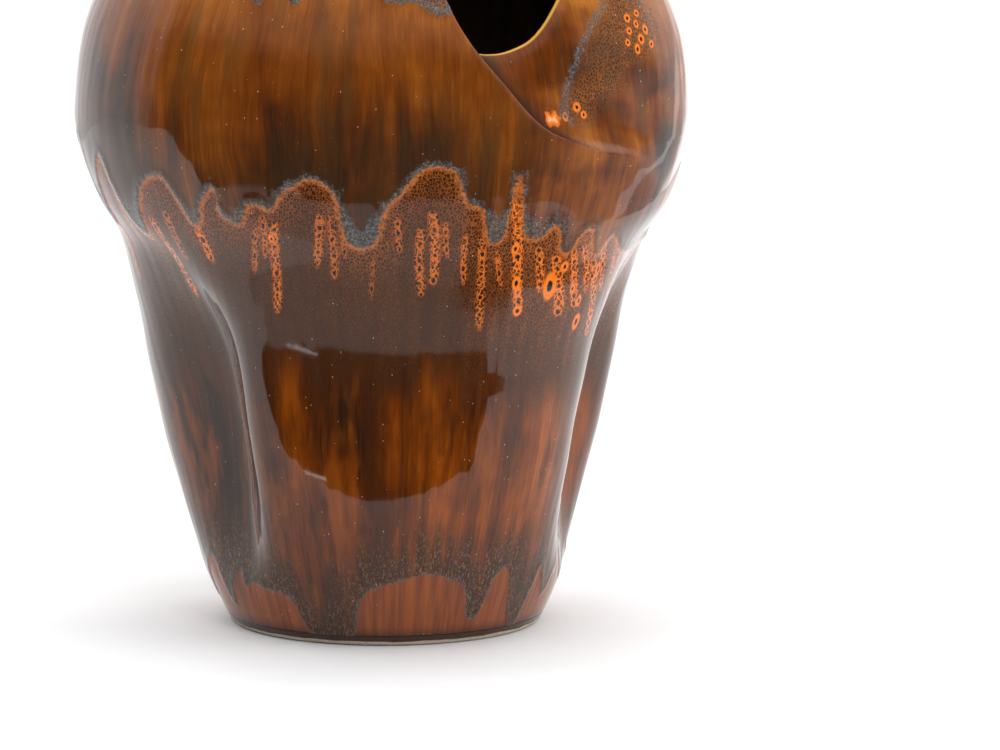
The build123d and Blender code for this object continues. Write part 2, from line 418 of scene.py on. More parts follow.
def arc_from_end(points):
    """Distance of each row from the last one, along the columns."""
    steps = np.linalg.norm(np.diff(points, axis=0), axis=-1)
    ahead = np.cumsum(steps[::-1], axis=0)[::-1]
    return np.concatenate([ahead, np.zeros((1, points.shape[1]))], axis=0)


ATTRIBUTES = "drip foot top pool spots across along glow lip crease".split()


def add_object(name, data):
    thing = bpy.data.objects.new(name, data)
    bpy.context.scene.collection.objects.link(thing)
    return thing


class Skin:
    """Gathers the vertices, faces, materials and glaze attributes of one piece."""

    def __init__(self, name):
        self.name = name
        self.points, self.faces, self.looks, self.values = [], [], [], {}
        self.count = 0

    def add_points(self, points, **values):
        """Adds points with their glaze values, and returns their indices in the same shape."""
        shape = points.shape[:-1]
        self.points.append(points.reshape(-1, 3))
        for key in ATTRIBUTES:
            self.values.setdefault(key, []).append((np.zeros(shape) + values.get(key, 0)).ravel())
        index = np.arange(self.count, self.count + np.prod(shape)).reshape(shape)
        self.count += index.size
        return index

    def add_faces(self, index, look, closed=False, flip=False):
        """Adds the faces of a grid of indices, rows going up and columns going round."""
        index = np.array(index)
        wide = np.append(index, index[:, :1], axis=1) if closed else index
        faces = np.stack([wide[:-1, :-1], wide[:-1, 1:], wide[1:, 1:], wide[1:, :-1]], axis=-1)
        faces = faces.reshape(-1, 4)
        self.faces.append(faces[:, ::-1] if flip else faces)
        self.looks.append(np.full(len(faces), look))

    def build(self, materials, body, replaced, slot):
        points = np.concatenate(self.points) * MM
        faces = np.concatenate(self.faces)
        mesh = bpy.data.meshes.new(self.name)
        mesh.vertices.add(len(points))
        mesh.vertices.foreach_set("co", points.astype(np.float32).ravel())
        mesh.loops.add(faces.size)
        mesh.loops.foreach_set("vertex_index", faces.astype(np.int32).ravel())
        mesh.polygons.add(len(faces))
        mesh.polygons.foreach_set("loop_start", np.arange(0, faces.size, 4, dtype=np.int32))
        mesh.polygons.foreach_set("loop_total", np.full(len(faces), 4, np.int32))
        for material in materials:
            mesh.materials.append(material)
        mesh.polygons.foreach_set("material_index", np.concatenate(self.looks).astype(np.int32))
        mesh.polygons.foreach_set("use_smooth", np.ones(len(faces), bool))
        for key, parts in self.values.items():
            layer = mesh.attributes.new(key, "FLOAT", "POINT")
            layer.data.foreach_set("value", np.concatenate(parts).astype(np.float32))
        mesh.update(calc_edges=True)
        mesh.validate()
        piece = add_object(self.name, mesh)
        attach(piece, body)
        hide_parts(*replaced)


OUTER, INNER = 0, 1
BARE = dict(drip=-99, foot=99, top=-99, pool=-99)  # glaze values away from every glaze line
# Painted shade in the crease under the left leaf's edge: where it starts, how wide it is, and its
# lowest height.
CREASE_START = 4
CREASE_WIDTH = 3.4
CREASE_FOOT = 286
CORNER_SHARE = 0.48
LIP_SPREAD = 2.6
SLAB_ROWS = 6
SLAB_RINGS = [1, 0.93, 0.8, 0.6, 0.4, 0.2, 0.04]


def glazed(points, bearing, height, closed):
    """Moves a grid of clay points out to the glaze, and returns it with its glaze values."""
    drip, foot, top = (
        line_distance(line, bearing, height) for line in (DRIP_LINE, FOOT_LINE, TOP_LINE)
    )
    normals = grid_normals(points, closed)
    relief = glaze_relief(bearing, height, drip, foot, top)
    pool = pool_depth(round_gap(bearing, 0), height)
    values = dict(drip=drip, foot=foot, top=top, pool=pool, **spot_values(bearing, height))
    return points + normals * relief[..., None], normals, values


def turns_round():
    lips = np.array(LIP_STEPS) / 3
    middle = np.arange(lips[-1] + COLUMN_STEP, 360 - lips[-1] - COLUMN_STEP / 2, COLUMN_STEP)
    seam = np.argmin(abs(middle - SEAM_TURN))
    middle[seam] = SEAM_TURN
    return np.concatenate([lips, middle, 360 - lips[::-1]])


TURNS = turns_round()


def ring_clay(low, high, rows):
    """The clay all round between two heights: its points, bearings and heights."""
    turns, heights = TURNS[:-1][None, :], np.linspace(low, high, rows)[:, None]
    bearing, radius = ring_radius(turns + 0 * heights, heights + 0 * turns)
    height = heights + 0 * bearing
    return place(bearing, radius, height), bearing, height


def make_ring_wall():
    """Lower wall: a closed ring of clay, glazed inside and out."""
    skin = Skin("lower_wall_glazed")
    outer, _, values = glazed(*ring_clay(SLAB_TOP, LEAF_HEIGHT, LOWER_ROWS), True)
    skin.add_faces(skin.add_points(outer, **values), OUTER, closed=True)
    clay, _, _ = ring_clay(SLAB_TOP, LEAF_HEIGHT, INNER_ROWS)
    normals = grid_normals(clay, True)
    normals[[0, -1], :, 2] = 0
    inner = clay - WALL * normals
    inner[[0, -1], :, 2] = [[SLAB_TOP], [LEAF_HEIGHT]]
    skin.add_faces(skin.add_points(inner, **BARE), INNER, closed=True, flip=True)
    for row in (0, -1):
        outside, inside = skin.add_points(outer[row]), skin.add_points(inner[row])
        skin.add_faces([inside, outside], INNER, closed=True, flip=row == -1)
    return skin


def crease_shade_strength(gap, height):
    """How close a point of the right leaf is to the left leaf's edge lying over it, which sets the
    painted shade in the crease there.
    """
    return bump(np.maximum(gap - CREASE_START, 0), CREASE_WIDTH) * step((height - CREASE_FOOT) / 12)


def rounding(away, reach):
    """Fall of a quarter-round corner, from 1 at its edge to 0 at its reach."""
    return 1 - np.sqrt(1 - np.clip(1 - away / reach, 0, 1) ** 2)


def make_leaf(name, radius, turns, left):
    """A leaf of the upper wall, with a rounded rim and a rounded free edge."""
    skin = Skin(name)
    tops = rim_heights(radius, turns, left)
    lips = np.array(LIP_STEPS[::-1])
    shares = np.linspace(0, 1, LEAF_ROWS)[:, None]
    low = LEAF_HEIGHT + shares * (tops - lips[0] - LEAF_HEIGHT)
    height = np.concatenate([low, tops - lips[1:, None]], axis=0)
    bearing, distance = radius(turns[None, :] + 0 * height, height)
    clay = place(bearing, distance, height)
    outer, flat, values = glazed(clay, bearing, height, False)
    flat[0, :, 2] = 0
    from_rim = arc_from_end(outer)
    way = slice(None, None, 1 if left else -1)
    from_edge = arc_from_end(np.moveaxis(outer, 1, 0)[way])[way].T
    parted = step((height - LEAF_HEIGHT) / (2 * PARTING_HEIGHT))
    away = np.minimum(from_rim, from_edge + 8 * (1 - parted))
    thickness = RIM_WALL + (WALL - RIM_WALL) * step(from_rim / WALL_TAPER)
    corner = CORNER_SHARE * thickness
    outer = outer - flat * (1.1 * corner * rounding(away, LIP_REACH))[..., None]
    thickness = thickness - 0.9 * corner * rounding(away, corner)
    inner = clay - flat * thickness[..., None]
    lip = bump(away, LIP_SPREAD)
    gap = (bearing - edge_bearing(height)) * DEGREE
    # The right leaf gets painted shade in the crease under the left leaf's edge.
    crease = 0 * gap if left else crease_shade_strength(gap, height)
    outside = skin.add_points(outer, lip=lip, crease=crease, **values)
    inside = skin.add_points(inner, lip=lip, **BARE)
    skin.add_faces(outside, OUTER)
    skin.add_faces(inside, INNER, flip=True)
    free, seam = (-1, 0) if left else (0, -1)
    skin.add_faces([outside[-1], inside[-1]], OUTER)
    skin.add_faces([outside[:, free], inside[:, free]], OUTER, flip=left)
    for run, other, flip in (
        (outer[0], inner[0], True), (outer[:, seam], inner[:, seam], left),
    ):
        skin.add_faces([skin.add_points(run), skin.add_points(other)], INNER, flip=flip)
    return skin


def make_slab():
    """Base slab: the floor of the vase, its glazed side in line with the body."""
    skin = Skin("floor_slab")
    outer, _, values = glazed(*ring_clay(SLAB_BOTTOM, SLAB_TOP, SLAB_ROWS), True)
    skin.add_faces(skin.add_points(outer, **values), OUTER, closed=True)
    half = outer.shape[1] // 2
    shares = np.array(SLAB_RINGS)[:, None]
    for level, row, sink, flip in ((SLAB_TOP, -1, 0.6, False), (SLAB_BOTTOM, 0, -0.2, True)):
        x, y = outer[row, :, 0] * shares, outer[row, :, 1] * shares
        swell = 0.35 * np.sin(x / 17) * np.cos(y / 13) * (shares < 0.9)
        z = level - sink * (1 - shares) + swell * abs(sink)
        index = skin.add_points(np.stack([x, y, z], axis=-1), **BARE)
        skin.add_faces(index, INNER, closed=True, flip=flip)
        skin.add_faces([index[-1, :half], index[-1, ::-1][:half]], INNER, flip=flip)
    return skin


FOOT_BORE = 70


def make_foot():
    """Foot ring: wiped bare clay underneath, glazed side above a wavering glaze line."""
    skin = Skin("foot_ring_bare")
    turns = TURNS[:-1]
    outline = [
        (FOOT_BORE, 6), (FOOT_BORE, 4.2), (FOOT_BORE, 2.4), (FOOT_BORE + 0.4, 1.2),
        (FOOT_BORE + 1.2, 0.4), (FOOT_BORE + 2.4, 0), (FOOT_BORE + 6, 0.02), (79, 0.05),
        (84, 0.02), (86, 0), (87.4, 0.12), (88.2, 0.5), (88.7, 1.1), (89, 1.8),
        (89.4, 2.6), (89.9, 3.6), (90.5, 4.8), (91.1, 6),
    ]
    grid = []
    bearing = FLUTE_BEARINGS[0] + turns
    for radius, height in outline:
        wobble = 0.12 * np.sin(np.radians(bearing) * 7 + height) * (0 < height < 6)
        grid.append(place(bearing, radius + wobble, np.full(len(turns), height)))
    index = skin.add_points(np.array(grid), **{**BARE, "foot": -20})
    skin.add_faces(index, OUTER, closed=True)
    skin.add_faces([index[-1], index[0]], OUTER, closed=True)
    return skin


# ---- Materials ----
def operation(name, swapped=False):
    """A method that joins two values of a material by a Math node."""
    def join(self, other):
        return self.nodes.math(name, *((other, self) if swapped else (self, other)))
    return join


class Wire:
    """A value inside a material, so that its colours can be written as sums and products."""

    def __init__(self, nodes, socket):
        self.nodes, self.socket = nodes, socket

    __add__, __sub__ = operation("ADD"), operation("SUBTRACT")
    __mul__, __truediv__ = operation("MULTIPLY"), operation("DIVIDE")
    __rsub__ = operation("SUBTRACT", swapped=True)

    def between(self, low, high, out_low=0, out_high=1):
        """Smooth change of a value from one range to another."""
        numbers = (low, high, out_low, out_high)
        return self.nodes.out("ShaderNodeMapRange", self, *numbers, interpolation_type="SMOOTHSTEP")

    def stretched(self, around, up):
        return self.nodes.vector("MULTIPLY", self, (around, around, up))


class Nodes:
    """Short calls for the shader nodes of a material or a world."""

    def __init__(self, owner):
        owner.use_nodes = True
        self.owner, self.tree = owner, owner.node_tree
        self.shader = self.tree.nodes.get("Principled BSDF")

    def add(self, kind, *inputs, **settings):
        node = self.tree.nodes.new(kind)
        for key, value in settings.items():
            setattr(node, key, value)
        for socket, value in zip(node.inputs, inputs):
            self.feed(socket, value)
        return node

    def feed(self, socket, value):
        if isinstance(value, Wire):
            self.tree.links.new(value.socket, socket)
        elif value is not None:
            socket.default_value = value

    def feed_named(self, node, **values):
        for name, value in values.items():
            self.feed(node.inputs[name], value)

    def set(self, name, value):
        self.feed(self.shader.inputs[name], value)

    def out(self, kind, *inputs, output=0, **settings):
        return Wire(self, self.add(kind, *inputs, **settings).outputs[output])

    def parts(self, vector):
        node = self.add("ShaderNodeSeparateXYZ", vector)
        return [Wire(self, socket) for socket in node.outputs]

    def point(self, x, y, z):
        return self.out("ShaderNodeCombineXYZ", x, y, z)

    def object_place(self):
        return self.out("ShaderNodeTexCoord", output="Object")

    def bearing(self, x, y):
        return self.math("ARCTAN2", x, y * -1) * math.degrees(1)

    def math(self, operation, *inputs, clamp=False):
        return self.out("ShaderNodeMath", *inputs, operation=operation, use_clamp=clamp)

    def most(self, first, second):
        return self.math("MAXIMUM", first, second)

    def vector(self, operation, *inputs):
        output = "Value" if operation == "LENGTH" else "Vector"
        return self.out("ShaderNodeVectorMath", *inputs, output=output, operation=operation)

    def scaled(self, vector, scale):
        node = self.add("ShaderNodeVectorMath", operation="SCALE")
        self.feed_named(node, Vector=vector, Scale=scale)
        return Wire(self, node.outputs["Vector"])

    def attribute(self, name):
        return self.out("ShaderNodeAttribute", attribute_name=name, output="Fac")

    def noise(self, place, scale, detail=2, roughness=0.5):
        node = self.add("ShaderNodeTexNoise")
        self.feed_named(node, Vector=place, Scale=scale, Detail=detail, Roughness=roughness)
        return Wire(self, node.outputs[0])

    def cells(self, place, scale, feature="F1"):
        node = self.add("ShaderNodeTexVoronoi", feature=feature)
        self.feed_named(node, Vector=place, Scale=scale)
        return Wire(self, node.outputs["Distance"])

    def ramp(self, value, *stops):
        node = self.add("ShaderNodeValToRGB", value)
        ramp = node.color_ramp
        while len(ramp.elements) < len(stops):
            ramp.elements.new(0.5)
        for element, (position, colour) in zip(ramp.elements, stops):
            element.position = position
            element.color = (*colour, 1)
        return Wire(self, node.outputs[0])

    def mix(self, share, first, second, blend="MIX"):
        node = self.add("ShaderNodeMix", data_type="RGBA", blend_type=blend)
        self.feed(node.inputs[0], share)
        for socket, value in ((node.inputs[6], first), (node.inputs[7], second)):
            self.feed(socket, (*value, 1) if isinstance(value, tuple) else value)
        return Wire(self, node.outputs[2])

    def shaded(self, colour, grey):
        return self.mix(1, colour, self.point(grey, grey, grey), "MULTIPLY")

    def bumps(self, height, strength, distance):
        node = self.add("ShaderNodeBump")
        self.feed_named(node, Strength=strength, Distance=distance, Height=height)
        self.set("Normal", Wire(self, node.outputs[0]))


BLACK_BROWN = (0.026, 0.0115, 0.0055)
UMBER = (0.06, 0.027, 0.011)
RED_BROWN = (0.14, 0.032, 0.004)
RUST = (0.23, 0.062, 0.007)
AMBER = (0.37, 0.115, 0.013)
OCHRE = (0.52, 0.2, 0.032)
NET_BROWN = (0.13, 0.042, 0.011)
NET_ORANGE = (0.85, 0.19, 0.015)
DULL_ORANGE = (0.26, 0.066, 0.013)
SPOT_BLACK = (0.012, 0.008, 0.007)
CRYSTAL = (0.13, 0.15, 0.15)
CRYSTAL_DARK = (0.03, 0.033, 0.033)
CRYSTAL_LIGHT = (0.45, 0.49, 0.48)
SPECK = (0.75, 0.62, 0.46)
GOLD = (0.75, 0.4, 0.06)
VEIL = (0.085, 0.042, 0.011)
LOW_BROWN = (0.075, 0.018, 0.003)
LOW_RED = (0.15, 0.032, 0.0025)
LOW_RUST = (0.27, 0.06, 0.004)
LOW_AMBER = (0.42, 0.115, 0.008)
FLAME_DARK = (0.045, 0.014, 0.004)
FLAME_BRIGHT = (0.3, 0.07, 0.005)
BAND_DARK = (0.03, 0.0125, 0.006)
BAND_BROWN = (0.06, 0.021, 0.008)
FOOT_BROWN = (0.14, 0.035, 0.01)
FOOT_RED = (0.3, 0.07, 0.012)
RUSTY_FLECK = (0.36, 0.11, 0.024)
PALE_FLECK = (0.2, 0.21, 0.2)
COLLAR_DARK = (0.05, 0.03, 0.016)
COLLAR_NET = (0.42, 0.12, 0.024)
SPOT_HEART = (0.008, 0.006, 0.006)
PALE_FLAME = (0.9, 0.5, 0.24)
BEAD = (0.55, 0.16, 0.035)
DUST = (0.5, 0.3, 0.15)
# Colour of the painted shade in the crease under the left leaf's edge.
CREASE_SHADE_COLOUR = (0.03, 0.011, 0.006)

# Single large spots on the front: (bearing, height, half width, half height).
LARGE_SPOTS = [
    (38, 211.5, 4.6, 8.2), (27.9, 236, 2.2, 3.6), (29.6, 215, 2.6, 4.4), (30.8, 198.5, 2.8, 3.2),
    (48.8, 187, 3, 5), (47.6, 200, 2.2, 3.6), (52.4, 216.5, 2.2, 4.6), (41.2, 222, 2.8, 3.2),
    (44.6, 208, 2, 2.8), (60.4, 346, 2.6, 3), (57.2, 351.5, 2.2, 2.2), (57.6, 358.5, 2.6, 2.4),
    (62.6, 350.5, 2.4, 2.8), (63.6, 342, 2.2, 2.2), (58.6, 341, 2.4, 3), (60, 354.5, 2, 2.2),
    (61.2, 360, 2.2, 2), (56, 345.5, 1.9, 2.2), (41.6, 313.5, 2.4, 2.8), (43, 309, 1.9, 2.2),
    (38.6, 309, 1.8, 2.6), (-22.8, 243, 1.9, 2.4),
]

FLAME_PLACE = (35.6 * DEGREE, 309, 0)
FLOW_RADIUS = 155  # millimetres
CHAIN_PITCH = 5.2  # millimetres from one spot to the next down a column


def make_glaze():
    n = Nodes(bpy.data.materials.new("reactive_amber_glaze"))
    x, y, z = n.parts(n.object_place())
    height = z * 1000
    bearing = n.bearing(x, y)
    arc = bearing * DEGREE
    # The flow frame: millimetres round the vase at one radius, and height.
    around = n.scaled(n.vector("NORMALIZE", n.point(x, y, 0)), FLOW_RADIUS)
    flow = n.vector("ADD", around, n.point(0, 0, height))
    sway = n.noise(flow.stretched(1 / 38, 1 / 70), 1, 2)
    swayed = n.vector("MULTIPLY", n.point(sway, sway, 0), (9, -9, 0))
    flowing = n.vector("ADD", flow, swayed)

    def streaks(width, length, detail, roughness=0.55):
        return n.noise(flowing.stretched(1 / width, 1 / length), 1, detail, roughness)

    broad = streaks(26, 120, 3)
    medium = streaks(7, 85, 3)
    fine = streaks(1.7, 38, 2)
    hair = streaks(0.75, 16, 1)
    blotch = n.noise(flow.stretched(1 / 55, 1 / 45), 1, 3, 0.55)
    grain = n.noise(flow, 1.6, 2, 0.6)
    curdle = n.noise(flow, 0.42, 4, 0.7)
    curdle_shift = (curdle - 0.5) * 7

    drip, foot, top = (n.attribute(name) + curdle_shift for name in ("drip", "foot", "top"))
    pool = n.attribute("pool") + curdle_shift * 1.6
    spots, lip = n.attribute("spots"), n.attribute("lip")

    # Amber glaze: translucent streaks from black-brown through rust to ochre.
    tone = broad * 0.6 + medium * 0.22 + fine * 0.18
    contrast = height.between(200, 330, 2.2, 1.1)
    tone = (tone - 0.5) * contrast + 0.5 + (blotch - 0.5) * 0.6
    # Painted light and shade: the tone is lifted towards the right, the side the light comes from,
    # and lowered on the lower left, away from it.
    painted_light_right = (bearing + blotch * 30).between(10, 75, 0, 0.12)
    rise = height.between(300, 395, -0.2, 0.05) + height.between(190, 140, 0, 0.08)
    rise = rise - bearing.between(-12, -40, 0, 0.12) * height.between(200, 120) + painted_light_right
    shade = blotch.between(0.4, 0.58, -0.16, 0.06) * bearing.between(24, 44)
    shade = shade * bearing.between(62, 84, 1, 0)
    rise = rise + shade * height.between(250, 290)
    tone = n.math("ADD", tone, rise, clamp=True)
    amber = n.ramp(
        tone, (0.12, BLACK_BROWN), (0.32, RED_BROWN), (0.5, RUST), (0.68, AMBER), (0.92, OCHRE)
    )
    hair_shade = hair.between(0.3, 0.75, 0.88, 1.06)
    amber = n.shaded(amber, hair_shade)

    # It darkens where it has run thick, just above its lower edge.
    fingers = (medium - 0.5) * 60 + (broad - 0.5) * 60 + bearing.between(12, 32, 0, 34)
    near_edge = (drip + fingers).between(-12, 62, 0.97, 0)
    near_edge = n.most(near_edge, (drip + fingers * 0.25).between(2, 20, 0.9, 0))
    veil = n.noise(flowing.stretched(1 / 15, 1 / 90), 1, 3, 0.6)
    amber = n.mix(veil.between(0.5, 0.68, 0, 0.55), amber, VEIL)
    upper = n.mix(near_edge, amber, n.mix(fine, BLACK_BROWN, UMBER))

    # Lower body: browner streaks, with a band of speckle under the drips.
    lower = n.ramp(
        tone, (0.08, BLACK_BROWN), (0.28, LOW_BROWN), (0.5, LOW_RED), (0.7, LOW_RUST),
        (0.95, LOW_AMBER),
    )
    lower = n.shaded(lower, hair_shade)
    flames = n.noise(flowing.stretched(1 / 19, 1 / 62), 1, 3, 0.55)
    lower = n.mix(flames.between(0.46, 0.34, 0, 0.7), lower, FLAME_DARK)
    lower = n.mix(flames.between(0.52, 0.7, 0, 0.5), lower, FLAME_BRIGHT)
    under = (drip + (medium - 0.5) * 60).between(-104, -68, 0, 0.94)
    lower = n.mix(under, lower, n.mix(medium, BAND_DARK, BAND_BROWN))

    # Oil spots: a net of orange lines round dark cells, coarse in the columns and fine between.
    shaken = n.scaled(n.point(curdle, grain, curdle), 1.2)
    warped = n.vector("ADD", flow.stretched(1, 0.72), shaken)
    fine_line, mid_line, wide_line = [
        n.cells(warped, scale, "DISTANCE_TO_EDGE").between(thin, thick, 1, 0)
        for scale, thin, thick in ((0.66, 0.03, 0.15), (0.46, 0.04, 0.15), (0.31, 0.06, 0.17))
    ]
    grainy_spots = spots + grain * 0.2
    to_mid = grainy_spots.between(0.3, 0.5)
    to_wide = grainy_spots.between(0.68, 0.9)
    net = fine_line * (1 - to_mid) + mid_line * to_mid
    net = net * (1 - to_wide) + wide_line * to_wide
    reach = (drip + (medium - 0.5) * 80).between(-100, 10, 0, 0.85)
    net_here = net * n.most(reach, spots.between(0.2, 0.6))
    spot_glow, spot_number = n.attribute("glow"), n.attribute("along")
    lit = spots.between(0.1, 0.7) * (spot_glow + 0.1)
    net_colour = n.mix(n.most(lit, drip.between(-26, 0, 0, 0.28)), NET_BROWN, NET_ORANGE)
    net_colour = n.mix(bearing.between(8, 34, 0, 0.28), net_colour, NET_ORANGE)
    net_ground = drip.between(-26, -4) * 0.55
    below = n.mix(n.most(net_ground, spots.between(0.2, 0.6) * 0.8), lower, BLACK_BROWN)
    below = n.mix(net_here, below, net_colour)

    # Chains of larger spots down the columns: dark ovals, each in its orange ring.
    run = height * (1 / CHAIN_PITCH) + spot_number + (curdle - 0.5) * 1.5
    beside = n.attribute("across") + (grain - 0.5) * 1.6
    link = n.math("FRACT", run) - 0.5
    pick = n.out("ShaderNodeTexWhiteNoise", n.point(n.math("FLOOR", run), spot_number, 0))
    oval = n.math("POWER", n.math("POWER", beside, 2) + n.math("POWER", link * 2.1, 2), 0.5)
    oval = oval / pick.between(0, 1, 0.45, 1.05)
    chain = grainy_spots.between(0.3, 0.45) * oval.between(0.95, 1.15, 1, 0)
    chain = chain * drip.between(-0.5, -2.5)
    shine = spot_glow * grain.between(0.3, 0.7, 0.7, 1.1)
    chain_colour = n.mix(oval.between(0.56, 0.7), SPOT_BLACK, n.mix(shine, DULL_ORANGE, NET_ORANGE))
    below = n.mix(chain, below, chain_colour)

    # Foot: a redder bare band under the lowest runs, and darker towards the very bottom.
    foot_tone = n.mix((medium * 0.6 + fine * 0.4).between(0.3, 0.65), FOOT_BROWN, FOOT_RED)
    foot_tone = n.mix(height.between(3, 13, 0.85, 0), foot_tone, BLACK_BROWN)
    below = n.mix(foot.between(-0.5, 0.8, 1, 0), below, foot_tone)
    foot_shade = (foot + (medium - 0.5) * 50).between(2, 34, 0.93, 0)
    foot_runs = foot_shade * foot.between(-0.5, 0.8)
    below = n.mix(foot_runs, below, n.mix(medium, BLACK_BROWN, UMBER))
    fleck = n.noise(flow.stretched(1, 0.6), 0.62, 3, 0.8)
    below = n.mix(foot_runs * fleck.between(0.54, 0.64, 0, 0.75), below, RUSTY_FLECK)
    pale_fleck = n.noise(flow.stretched(1, 0.45), 0.9, 2, 0.7)
    below = n.mix(foot_runs * pale_fleck.between(0.6, 0.68, 0, 0.7), below, PALE_FLECK)

    colour = n.mix(drip.between(-0.7, 0.7), below, upper)

    # Collar over the top line, and the pool on the right leaf: dark, speckled with the net.
    dark_net = n.mix(fine_line * blotch.between(0.4, 0.6, 0.35, 0.75), COLLAR_DARK, COLLAR_NET)
    collar = top.between(-0.7, 0.7) * (top + broad * 30).between(18, 46, 0.9, 0)
    colour = n.mix(collar, colour, dark_net)
    in_pool = (pool + (blotch - 0.5) * 30).between(-5, 9)
    colour = n.mix(in_pool * 0.9, colour, dark_net)

    # Large single spots: a black heart in a bright ring.
    chart = n.vector("ADD", n.point(arc, height, 0), n.scaled(n.point(curdle, grain, 0), 1.6))
    nearest = None
    for spot_bearing, spot_height, half_width, half_height in LARGE_SPOTS:
        away = n.vector("SUBTRACT", chart, (spot_bearing * DEGREE + 0.8, spot_height + 0.8, 0))
        away = n.vector("LENGTH", n.vector("MULTIPLY", away, (1 / half_width, 1 / half_height, 0)))
        nearest = away if nearest is None else n.math("MINIMUM", nearest, away)
    ring = nearest.between(0.34, 0.48) * nearest.between(0.82, 1.2, 1, 0)
    ring = ring * grain.between(0.25, 0.5, 0.55, 1)
    colour = n.mix(nearest.between(0.36, 0.5, 1, 0), colour, SPOT_HEART)
    colour = n.mix(ring, colour, NET_ORANGE)

    # A lick of pale flame in the right leaf's hollow.
    lick = n.vector("MULTIPLY", n.vector("SUBTRACT", chart, FLAME_PLACE), (1 / 8, 1 / 6.5, 0))
    ragged = n.noise(flow.stretched(0.32, 0.2), 1, 3, 0.65)
    lick = n.vector("LENGTH", lick) + (ragged - 0.5) * 1.7
    colour = n.mix(lick.between(0.5, 0.8, 0.9, 0), colour, NET_ORANGE)
    colour = n.mix(lick.between(0.05, 0.4, 0.8, 0), colour, PALE_FLAME)

    # Curdled grey-blue crystals along the glaze edges, thickest in the drips' tips.
    sparkle = n.cells(flow, 1.15)
    clump = n.noise(flow, 0.55, 4, 0.75)
    patchy = n.noise(flow.stretched(1 / 6, 1 / 9), 1, 3, 0.6)
    feather = n.noise(flowing.stretched(1 / 1.6, 1 / 4.5), 1, 3, 0.7) - 0.45
    feather = feather * 5 + (patchy - 0.5) * 14
    tip_room = height.between(243, 266, 9, 1.6) + feather
    drip_band = drip.between(-1.2, 0.1) * (drip - tip_room).between(-2, 2, 1, 0)
    foot_band = foot.between(-1.4, -0.2) * (foot - feather).between(-1, 3, 0.75, 0)
    top_band = top.between(-1.4, -0.2) * (top - feather).between(3, 8, 1, 0)
    pool_side = pool.between(-3.5, -1) * pool.between(0.6, 3.2, 1, 0)
    pool_side = pool_side * (arc * (1 / DEGREE) - height * 0.22).between(-29, -25, 1, 0)
    bands = n.most(n.most(drip_band, foot_band), n.most(top_band, pool_side))
    crystal_here = bands * clump.between(0.4, 0.6, 0.1, 0.9)
    beside_front = n.math("ABSOLUTE", bearing - 60).between(14, 28, 0.8, 0)
    crystal_here = crystal_here - beside_front * (crystal_here * top.between(-90, -60, 1, 0))
    crystal_colour = n.mix(sparkle.between(0.15, 0.4, 0.6, 0), CRYSTAL, CRYSTAL_LIGHT)
    crystal_colour = n.mix(grain.between(0.42, 0.6, 0, 0.8), crystal_colour, CRYSTAL_DARK)
    colour = n.mix(crystal_here, colour, crystal_colour)
    glow = drip.between(-4, -1.4) * drip.between(-1.2, 0.2, 1, 0)
    colour = n.mix(glow * clump.between(0.35, 0.6, 0.1, 0.8), colour, BEAD)

    # Pale specks, sparse, some of them strung in short vertical trails.
    cell = n.add("ShaderNodeTexVoronoi", feature="F1")
    n.feed_named(cell, Vector=flow.stretched(1, 0.6), Scale=0.34)
    chance = n.out("ShaderNodeSeparateColor", Wire(n, cell.outputs["Color"]))
    speck_size = chance.between(0.5, 1, 0, 0.08) * grain.between(0.3, 0.6, 0.4, 1.3)
    speck = n.math("LESS_THAN", Wire(n, cell.outputs["Distance"]), speck_size)
    colour = n.mix(speck * 0.75, colour, SPECK)
    dust_cell = n.cells(flow.stretched(1, 0.5), 0.75)
    dust = dust_cell.between(0.07, 0.16, 1, 0) * medium.between(0.5, 0.66, 0, 0.55)
    colour = n.mix(dust * height.between(150, 60, 0.45, 1), colour, DUST)

    # Painted shade in the crease under the left leaf's edge, and thin golden glaze on the rim.
    crease = n.attribute("crease") * grain.between(0.2, 0.6, 0.75, 1)
    colour = n.mix(crease, colour, CREASE_SHADE_COLOUR)
    on_rim = height.between(325, 350)
    colour = n.mix(lip.between(0.25, 0.7, 0, 0.6) * (1 - on_rim), colour, RED_BROWN)
    colour = n.mix(lip.between(0.74, 0.99, 0, 0.85) * on_rim, colour, GOLD)
    n.set("Base Color", colour)
    n.set("Roughness", crystal_here * 0.3 + grain.between(0.3, 0.8, 0.035, 0.075))
    n.set("IOR", 1.46)

    # Round the thickest oil spots the glaze is leaner, and mirrors much less.
    beside = bearing + curdle * 5
    lean = beside.between(17, 21) * beside.between(44, 49, 1, 0)
    lean = lean * (height + curdle * 7).between(213, 217)
    lean = lean * drip.between(2, 12, 1, 0)
    n.set("Specular IOR Level", 0.5 - lean * 0.42)

    # Bump: orange peel, streak ridges, rough crystals and dimpled spots.
    peel = n.noise(flow, 0.07, 1, 0.4) * 0.3
    ridges = medium * 0.03 + fine * 0.012
    rough = crystal_here * clump * 0.35
    dimple = net_here * -0.035 * drip.between(-0.5, 0.5, 1, 0)
    n.bumps(peel + ridges + (rough + dimple), 0.35, 0.001)
    return n.owner


def make_liner():
    n = Nodes(bpy.data.materials.new("dark_liner_glaze"))
    tone = n.noise(n.object_place().stretched(90, 14), 1, 4, 0.6)
    colour = n.ramp(
        tone, (0.3, (0.006, 0.004, 0.003)), (0.6, (0.022, 0.011, 0.006)), (0.85, (0.07, 0.03, 0.01))
    )
    colour = n.mix(n.attribute("lip").between(0.6, 0.98, 0, 0.9), colour, GOLD)
    n.set("Base Color", colour)
    n.set("Roughness", tone.between(0.3, 0.7, 0.08, 0.2))
    n.set("IOR", 1.5)
    n.bumps(tone, 0.3, 0.001)
    return n.owner


